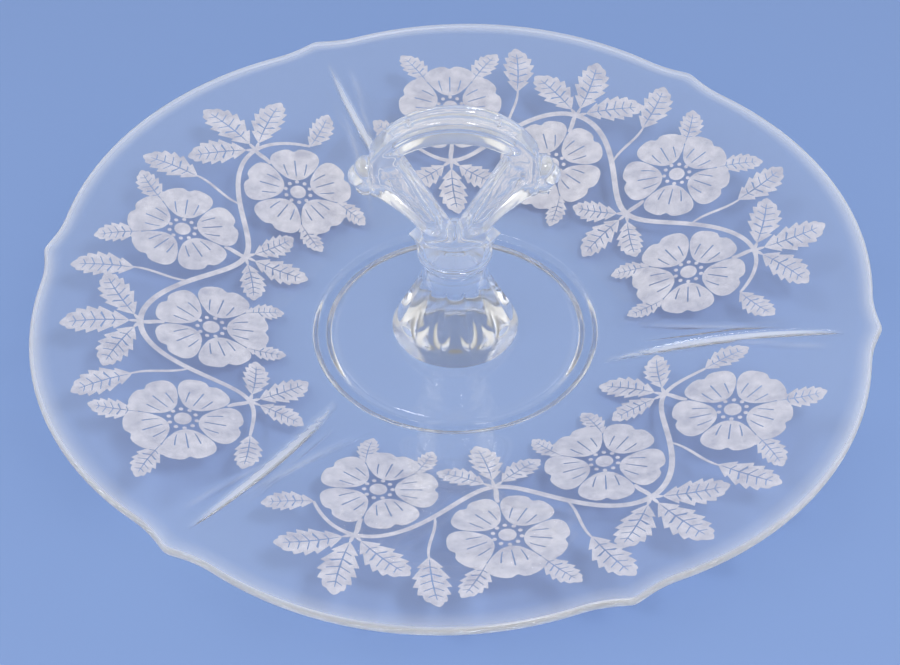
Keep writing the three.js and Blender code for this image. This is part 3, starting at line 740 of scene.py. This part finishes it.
# %% Union
select_nothing()
body.select_set(True)
bpy.context.view_layer.objects.active = body
union = body.modifiers.new("fuse", "BOOLEAN")
union.operation = "UNION"
union.solver = "MANIFOLD"
union.object = loop
bpy.ops.object.modifier_apply(modifier=union.name)
bpy.data.objects.remove(loop)
bpy.ops.object.shade_smooth_by_angle(angle=math.radians(42))
body.data.materials.clear()
body.data.materials.append(glass)
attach(body, "root")
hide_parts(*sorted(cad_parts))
triangles = sum(len(p.vertices) - 2 for p in body.data.polygons)
print("glass body of", triangles, "triangles")

# %% [markdown]
# ## Frosted garland
# The plate is decorated with flowers and leaves that are roughened into the underside, so they look
# white. A roughened patch has no thickness, but a renderer needs a surface to shade, so each patch is a
# skin of a few hundredths of a millimetre just under the glass. It lets half of the light on to the floor,
# as frosted glass does, so its shadow stays faint. The petals and leaves are grids wrapped to their
# outlines, with the cells of the veins taken out, so that clear glass shows there.

# %% Frost
frost = bpy.data.materials.new("frost")
frost.use_nodes = True
nodes = frost.node_tree.nodes
links = frost.node_tree.links
shader = nodes["Principled BSDF"]
shader.inputs["Roughness"].default_value = 0.9
shader.inputs["Specular IOR Level"].default_value = 0.3
place = nodes.new("ShaderNodeTexCoord")
cloud = nodes.new("ShaderNodeTexNoise")
cloud.inputs["Scale"].default_value = 170.0
cloud.inputs["Detail"].default_value = 5.0
cloud.inputs["Roughness"].default_value = 0.65
tone = nodes.new("ShaderNodeValToRGB")
tone.color_ramp.elements[0].position = 0.32
tone.color_ramp.elements[0].color = (0.42, 0.43, 0.55, 1)
tone.color_ramp.elements[1].position = 0.68
tone.color_ramp.elements[1].color = (0.68, 0.68, 0.77, 1)
links.new(place.outputs["Object"], cloud.inputs["Vector"])
links.new(cloud.outputs["Fac"], tone.inputs["Fac"])
links.new(tone.outputs["Color"], shader.inputs["Base Color"])
grain = nodes.new("ShaderNodeTexNoise")
grain.inputs["Scale"].default_value = 1400.0
tooth = nodes.new("ShaderNodeBump")
tooth.inputs["Strength"].default_value = 0.35
tooth.inputs["Distance"].default_value = 0.00008
links.new(place.outputs["Object"], grain.inputs["Vector"])
links.new(grain.outputs["Fac"], tooth.inputs["Height"])
links.new(tooth.outputs["Normal"], shader.inputs["Normal"])
let_through = nodes.new("ShaderNodeBsdfTransparent")
let_through.inputs["Color"].default_value = (0.5, 0.5, 0.52, 1)
ray = nodes.new("ShaderNodeLightPath")
choose = nodes.new("ShaderNodeMixShader")
links.new(ray.outputs["Is Shadow Ray"], choose.inputs["Fac"])
links.new(shader.outputs["BSDF"], choose.inputs[1])
links.new(let_through.outputs["BSDF"], choose.inputs[2])
links.new(choose.outputs["Shader"], nodes["Material Output"].inputs["Surface"])
print("made", frost.name)

# %% [markdown]
# A leaf and a petal are the only shapes that are drawn. Both are flat grids: s runs from base to tip and t
# from edge to edge, and a function gives the outline. The cuts of a grid lie closer together where a vein
# passes, so that a thin row of cells can be taken out there.

# %% Leaf
LEAF_LENGTH = 25.0
LEAF_HALF_WIDTH = 7.2
LEAF_TEETH = 6
LEAF_VEINS = np.array([0.2, 0.34, 0.48, 0.62, 0.76])
LEAF_SIDE = np.array([0.05, 0.3, 0.62, 0.82, 1])


def wrapped_grid(name, s_cuts, t_cuts, shape, is_clear):
    """A flat piece in mm: shape gives the place of a corner, is_clear the cells to take out."""
    select_nothing()
    bpy.ops.mesh.primitive_grid_add(x_subdivisions=len(s_cuts) - 1, y_subdivisions=len(t_cuts) - 1, size=MM)
    piece = bpy.context.object
    piece.name = name
    grid = read_places(piece)[:, :2] + 0.5
    row = np.rint(grid[:, 0] * (len(s_cuts) - 1)).astype(int)
    column = np.rint(grid[:, 1] * (len(t_cuts) - 1)).astype(int)
    x, y = shape(s_cuts[row], t_cuts[column])
    write_places(piece, np.stack([x, y, np.zeros(len(x))], axis=1))
    bpy.ops.object.mode_set(mode="EDIT")
    bpy.ops.mesh.select_mode(type="FACE")
    bpy.ops.mesh.select_all(action="DESELECT")
    bpy.ops.object.mode_set(mode="OBJECT")
    for cell in piece.data.polygons:
        corners = list(cell.vertices)
        cell.select = bool(is_clear(s_cuts[row[corners]].mean(), t_cuts[column[corners]].mean()))
    bpy.ops.object.mode_set(mode="EDIT")
    bpy.ops.mesh.delete(type="FACE")
    bpy.ops.mesh.select_mode(type="VERT")
    bpy.ops.object.mode_set(mode="OBJECT")
    return piece


def leaf_shape(s, t):
    tooth = 0.7 + 0.3 * (s * LEAF_TEETH % 1)
    width = LEAF_HALF_WIDTH * np.sin(math.pi * s ** 0.85) ** 0.8 * tooth
    return LEAF_LENGTH * (s + 0.12 * np.abs(t) * np.sin(math.pi * s)), width * t + 3.0 * s ** 2


def leaf_clear(s, t):
    on_vein = np.abs(LEAF_VEINS - s).min() < 0.01 and abs(t) < 0.62
    return (abs(t) < 0.05 and 0.04 < s < 0.86) or (on_vein and abs(t) > 0.05)


even_cuts = np.linspace(0, 1, 6 * LEAF_TEETH + 1)
before_teeth = np.arange(1, LEAF_TEETH) / LEAF_TEETH - 0.008
leaf_cuts = np.unique(np.round(np.r_[even_cuts, before_teeth, LEAF_VEINS - 0.01, LEAF_VEINS + 0.01], 4))
leaf_cuts[0] = 0.004
leaf = wrapped_grid("leaf", leaf_cuts, np.r_[-LEAF_SIDE[::-1], LEAF_SIDE], leaf_shape, leaf_clear)
print("leaf of", len(leaf.data.polygons), "cells")

# %% Petal
PETAL_SIDE = np.array([0.03, 0.12, 0.25, 0.46, 0.52, 0.7, 0.85, 1])
PETAL_MIDDLE = 10.4
PETAL_HALF_LENGTH = 6.0
PETAL_HALF_WIDTH = 8.8


def petal_shape(s, t):
    u = 2 * s - 1
    notch = 1.2 * np.exp(-(t / 0.2) ** 2) * s ** 6
    x = PETAL_MIDDLE + PETAL_HALF_LENGTH * u * np.sqrt(1 - t ** 2 / 2) - notch
    return x, PETAL_HALF_WIDTH * t * np.sqrt(1 - u ** 2 / 2) * (0.62 + 0.38 * s)


def petal_clear(s, t):
    return (abs(t) < 0.03 and 0.12 < s < 0.62) or (0.46 < abs(t) < 0.52 and 0.1 < s < 0.5)


petal = wrapped_grid(
    "petal", np.linspace(0, 1, 17), np.r_[-PETAL_SIDE[::-1], PETAL_SIDE], petal_shape, petal_clear)
print("petal of", len(petal.data.polygons), "cells")

# %% [markdown]
# The garland is made of copies. Five petals, a ring of dots and a disc are one blossom. Each copy has its
# own mesh with its place applied, so that the copies can be joined into one panel.

# %% Blossom
PETALS = 5
DOT_RING = 3.8
DOT_RADIUS = 0.6
EYE_RADIUS = 2.4


def copy_of(motif, place, turn, size=(1, 1)):
    """A copy with its own mesh, in mm and radians, with its transform applied."""
    select_nothing()
    motif.select_set(True)
    bpy.context.view_layer.objects.active = motif
    bpy.ops.object.duplicate()
    piece = bpy.context.object
    piece.location = (place[0] * MM, place[1] * MM, 0)
    piece.rotation_euler = (0, 0, turn)
    piece.scale = (size[0], size[1], 1)
    bpy.ops.object.transform_apply(location=True, rotation=True, scale=True)
    return piece


def joined(name, pieces):
    select_nothing()
    for piece in pieces:
        piece.select_set(True)
    bpy.context.view_layer.objects.active = pieces[0]
    bpy.ops.object.join()
    pieces[0].name = name
    return pieces[0]


def disc(place, radius):
    select_nothing()
    bpy.ops.mesh.primitive_circle_add(vertices=18, radius=radius * MM, fill_type="NGON")
    piece = bpy.context.object
    piece.location = (place[0] * MM, place[1] * MM, 0)
    bpy.ops.object.transform_apply(location=True, rotation=True, scale=True)
    return piece


petals = [copy_of(petal, (0, 0), k * 2 * math.pi / PETALS) for k in range(PETALS)]
dot_turns = [k * math.pi / PETALS for k in range(2 * PETALS)]
dots = [disc((DOT_RING * math.cos(turn), DOT_RING * math.sin(turn)), DOT_RADIUS) for turn in dot_turns]
blossom = joined("blossom", petals + dots + [disc((0, 0), EYE_RADIUS)])
print("blossom of", len(blossom.data.polygons), "cells")

# %% [markdown]
# A vine swings in and out along each third of the plate. It is a ribbon that follows a path, as each stalk
# is. Places are given by a turn in degrees from the middle of the panel and a radius, which keeps the
# layout readable.

# %% Vine
GARLANDS = 3
GARLAND_TURN = POINT_TURN + math.pi / GARLANDS
VINE_RADIUS = 88.0
VINE_SWING = 13.0
VINE_PERIOD = 52.0
VINE_END = 49


def ribbon(name, path, width):
    """A flat stalk along a path in mm, narrower at its ends."""
    path = np.array(path, float)
    ahead = np.gradient(path, axis=0)
    aside = np.stack([-ahead[:, 1], ahead[:, 0]], axis=1) / np.hypot(*ahead.T)[:, None]
    share = np.linspace(0, 1, len(path))
    half = width / 2 * (0.45 + 0.55 * np.sin(math.pi * share) ** 0.5)

    def shape(s, t):
        k = np.rint(s * (len(path) - 1)).astype(int)
        return (path[k] + aside[k] * (half[k] * t)[:, None]).T

    return wrapped_grid(name, share, np.array([-1.0, 1.0]), shape, lambda s, t: False)


def polar(turn, radius):
    """A place on the panel in mm: turn in degrees from its middle line, radius from the tray's axis."""
    angle = GARLAND_TURN + np.radians(turn)
    return np.stack([radius * np.cos(angle), radius * np.sin(angle)], axis=-1)


def vine_radius(turn):
    return VINE_RADIUS + VINE_SWING * np.sin(2 * math.pi * np.asarray(turn, float) / VINE_PERIOD)


turns = np.linspace(-VINE_END, VINE_END, 120)
pieces = [ribbon("vine", polar(turns, vine_radius(turns)), 1.9)]
print("vine from", VINE_RADIUS - VINE_SWING, "to", VINE_RADIUS + VINE_SWING, "mm from the axis")

# %% [markdown]
# A blossom hangs in every swing of the vine, with a fan of leaves across the vine from it, and single
# leaves fill the gaps. Each helper sets copies at a place on the panel and keeps them in one list.

# %% Places on the panel
CRESTS = (-39, 13)
TROUGHS = (-13, 39)
BLOSSOM_SIZE = 1.12
GAP_REACH = 13.5
FAN_START = 3.5


def put(motif, turn, radius, lean=0.0, size=1.0, flip=1):
    """Set a motif on the panel: it points outwards, leans by some degrees, and may be mirrored."""
    angle = GARLAND_TURN + math.radians(turn + lean)
    pieces.append(copy_of(motif, polar(turn, radius), angle, (size, size * flip)))


def tuck(turn, radius, gap, lean, size):
    """Set a leaf between two petals of a blossom, gap degrees round from outwards."""
    outward = GARLAND_TURN + math.radians(turn)
    way = outward + math.radians(gap)
    base = polar(turn, radius) + GAP_REACH * np.array([math.cos(way), math.sin(way)])
    across = size if math.sin(math.radians(gap)) > 0 else -size
    pieces.append(copy_of(leaf, base, outward + math.radians(lean), (size, across)))


def stalk(places, width=1.0):
    (a, b), (c, d), (e, f), (g, h) = places
    pieces.append(ribbon("stalk", curve([polar(a, b), polar(c, d), polar(e, f), polar(g, h)], 16), width))


def fan(turn, radius, middle, spread, sizes):
    """Three leaves that spread from a place on the vine."""
    for step, size in zip((-1, 0, 1), sizes):
        lean = middle + step * spread
        way = GARLAND_TURN + math.radians(turn + lean)
        base = polar(turn, radius) + FAN_START * np.array([math.cos(way), math.sin(way)])
        pieces.append(ribbon("stalk", np.linspace(polar(turn, radius), base, 4), 1.2))
        pieces.append(copy_of(leaf, base, way, (size, -size if step < 0 else size)))


print("blossoms at", sorted(CRESTS + TROUGHS), "degrees")

# %% Panel
INNER_BLOSSOM, OUTER_BLOSSOM = 79, 97.5
LONE_LEAVES = (-26, 0, 26)

for turn in CRESTS:
    put(blossom, turn, INNER_BLOSSOM, 180, BLOSSOM_SIZE)
    stalk([(turn, 101), (turn + 0.6, 99), (turn - 0.6, 96), (turn, 93.5)], 1.6)
    fan(turn, 101, 0, 56, (0.8, 0.86, 0.8))
    tuck(turn, INNER_BLOSSOM, 144, 165, 0.5)
    tuck(turn, INNER_BLOSSOM, -144, -165, 0.5)
for turn in TROUGHS:
    put(blossom, turn, OUTER_BLOSSOM, 0, BLOSSOM_SIZE)
    stalk([(turn, 75), (turn + 0.6, 77), (turn - 0.6, 80), (turn, 82.5)], 1.6)
    fan(turn, 75, 180, 52, (0.62, 0.72, 0.62))
    tuck(turn, OUTER_BLOSSOM, 36, 30, 0.62)
    tuck(turn, OUTER_BLOSSOM, -36, -30, 0.62)
for turn in LONE_LEAVES:
    stalk([(turn, 88), (turn + 1, 95), (turn - 1, 100), (turn, 107)])
    put(leaf, turn, 106, 6, 0.8)
for turn, lean, flip in ((-VINE_END, -62, 1), (VINE_END, 52, -1)):
    put(leaf, turn, float(vine_radius(turn)), lean, 0.62, flip)
garland = joined("frost_garland_1", pieces)
for motif in (leaf, petal, blossom):
    bpy.data.objects.remove(motif)
print("panel of", len(garland.data.polygons), "cells")

# %% [markdown]
# The flat panel is dropped onto the curved underside, a hair below the glass so that the two never share a
# surface. Cells that a mirrored copy turned over are flipped, and a Solidify modifier gives the skin its
# thickness. The other two panels are copies, a third of a turn apart.

# %% Skin
FROST_GAP = 0.03
FROST_SKIN = 0.06


def under_height(radius, angle):
    """Height of the underside below a place on the plate."""
    spun = radius.copy()
    for _ in range(8):
        spun += radius - scalloped(spun, angle)
    return np.interp(spun, UNDER[:, 0], UNDER[:, 1])


places = read_places(garland)
radius = np.hypot(places[:, 0], places[:, 1])
angle = np.arctan2(places[:, 1], places[:, 0])
places[:, 2] = under_height(radius, angle) - FROST_GAP
write_places(garland, places)
select_nothing()
garland.select_set(True)
bpy.context.view_layer.objects.active = garland
bpy.ops.object.mode_set(mode="EDIT")
bpy.ops.mesh.select_mode(type="FACE")
bpy.ops.mesh.select_all(action="DESELECT")
bpy.ops.object.mode_set(mode="OBJECT")
for cell in garland.data.polygons:
    cell.select = cell.normal.z < 0
bpy.ops.object.mode_set(mode="EDIT")
bpy.ops.mesh.flip_normals()
bpy.ops.mesh.select_mode(type="VERT")
bpy.ops.object.mode_set(mode="OBJECT")
skin = garland.modifiers.new("skin", "SOLIDIFY")
skin.thickness = FROST_SKIN * MM
bpy.ops.object.modifier_apply(modifier=skin.name)
garland.data.materials.clear()
garland.data.materials.append(frost)
print("skin of", len(garland.data.polygons), "faces")

# %% Three panels
panels = [garland]
for k in range(1, GARLANDS):
    panels.append(copy_of(garland, (0, 0), k * 2 * math.pi / GARLANDS))
    panels[k].name = f"frost_garland_{k + 1}"
for panel in panels:
    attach(panel, "root")
    print(panel.name, sum(len(p.vertices) - 2 for p in panel.data.polygons), "triangles")
